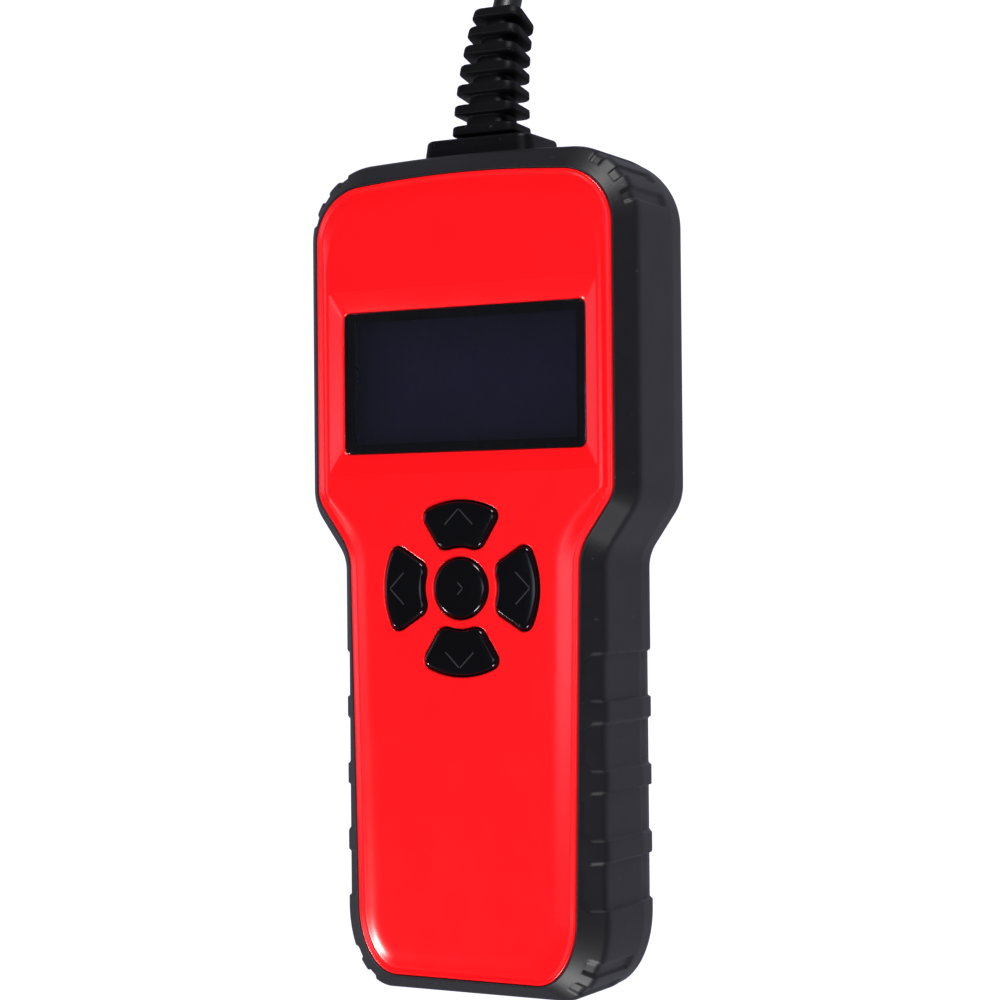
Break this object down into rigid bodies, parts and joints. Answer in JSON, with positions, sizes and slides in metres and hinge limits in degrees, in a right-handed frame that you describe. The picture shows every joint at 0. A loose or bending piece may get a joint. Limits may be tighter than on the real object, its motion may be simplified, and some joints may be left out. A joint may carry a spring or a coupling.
{
  "type": "vehicle diagnostic code reader",
  "caption": "Handheld vehicle diagnostic code reader with display, keypad, rubber bumper boot and a captive cable ending in a vehicle plug.",
  "frame": {"origin": "middle of the back face, which the reader lies on; measured without the cable, its gland and its plug", "axes": "+Z out of the screen, +Y along the body towards the cable's end, +X towards the user's right when the screen faces them"},
  "size_m": [0.0935, 0.3788, 0.0308],
  "materials": {
    "black_plastic": "fine moulded texture",
    "red_plastic": "smooth glossy moulding",
    "boot_rubber": "matte soft-touch rubber",
    "lens": "tinted clear window with a dark printed border",
    "gasket_foam": "closed-cell foam",
    "sheet_steel": "tinned sheet",
    "lcd": "dark display glass",
    "white_plastic": "plain moulding",
    "flex_film": "polyimide film",
    "silicone": "matte silicone",
    "key_plastic": "polished moulding",
    "carbon_rubber": "conductive rubber",
    "circuit_board": "solder mask",
    "gold_plate": "thin gold plating",
    "chip_epoxy": "moulded epoxy",
    "capacitor_sleeve": "shrunk sleeve",
    "wire_insulation": "extruded insulation",
    "cable_jacket": "smooth extruded jacket",
    "screw_steel": "zinc plated",
    "label_film": "blank satin film",
    "relief_rubber": "matte overmoulding",
    "strap": "woven hook-and-loop strap"
  },
  "bodies": {
    "reader": {"rear_shell": "black_plastic", "front_cover": "red_plastic", "bumper_boot": "boot_rubber", "display_lens": "lens", "lens_gasket": "gasket_foam", "lcd_frame": "sheet_steel", "lcd_glass": "lcd", "lcd_backlight": "white_plastic", "lcd_flex": "flex_film", "keypad_mat": "silicone", "dome_up": "silicone", "dome_down": "silicone", "dome_left": "silicone", "dome_right": "silicone", "dome_enter": "silicone", "main_board": "circuit_board", "contact_pads": "gold_plate", "processor_chip": "chip_epoxy", "transceiver_chips": "chip_epoxy", "crystal": "sheet_steel", "buzzer": "black_plastic", "capacitors": "capacitor_sleeve", "cable_header": "white_plastic", "crimp_housing": "white_plastic", "inner_wires": "wire_insulation", "inner_cable": "cable_jacket", "cable_clamp": "black_plastic", "clamp_screws": "screw_steel", "board_screws": "screw_steel", "case_screws": "screw_steel", "rear_label": "label_film", "gland_block": "boot_rubber", "strain_relief": "relief_rubber", "cable": "cable_jacket", "cable_coil": "cable_jacket", "cable_tail": "cable_jacket", "coil_tie": "strap", "plug_strain_relief": "relief_rubber", "plug_grip": "black_plastic", "plug_shroud": "black_plastic", "pin_carrier": "black_plastic", "plug_pins": "gold_plate"},
    "button_up": {"key_up": "key_plastic", "puck_up": "carbon_rubber"},
    "button_down": {"key_down": "key_plastic", "puck_down": "carbon_rubber"},
    "button_left": {"key_left": "key_plastic", "puck_left": "carbon_rubber"},
    "button_right": {"key_right": "key_plastic", "puck_right": "carbon_rubber"},
    "button_enter": {"key_enter": "key_plastic", "puck_enter": "carbon_rubber"}
  },
  "joints": [
    {"name": "press_up", "type": "slide", "parent": "reader", "child": "button_up", "axis": [0, 0, -1], "range_m": [0, 0.0012], "stiffness_N_per_m": 300, "springref_m": -0.0005, "deforming": ["dome_up"]},
    {"name": "press_down", "type": "slide", "parent": "reader", "child": "button_down", "axis": [0, 0, -1], "range_m": [0, 0.0012], "stiffness_N_per_m": 300, "springref_m": -0.0005, "deforming": ["dome_down"]},
    {"name": "press_left", "type": "slide", "parent": "reader", "child": "button_left", "axis": [0, 0, -1], "range_m": [0, 0.0012], "stiffness_N_per_m": 300, "springref_m": -0.0005, "deforming": ["dome_left"]},
    {"name": "press_right", "type": "slide", "parent": "reader", "child": "button_right", "axis": [0, 0, -1], "range_m": [0, 0.0012], "stiffness_N_per_m": 300, "springref_m": -0.0005, "deforming": ["dome_right"]},
    {"name": "press_enter", "type": "slide", "parent": "reader", "child": "button_enter", "axis": [0, 0, -1], "range_m": [0, 0.0012], "stiffness_N_per_m": 300, "springref_m": -0.0005, "deforming": ["dome_enter"]}
  ]
}
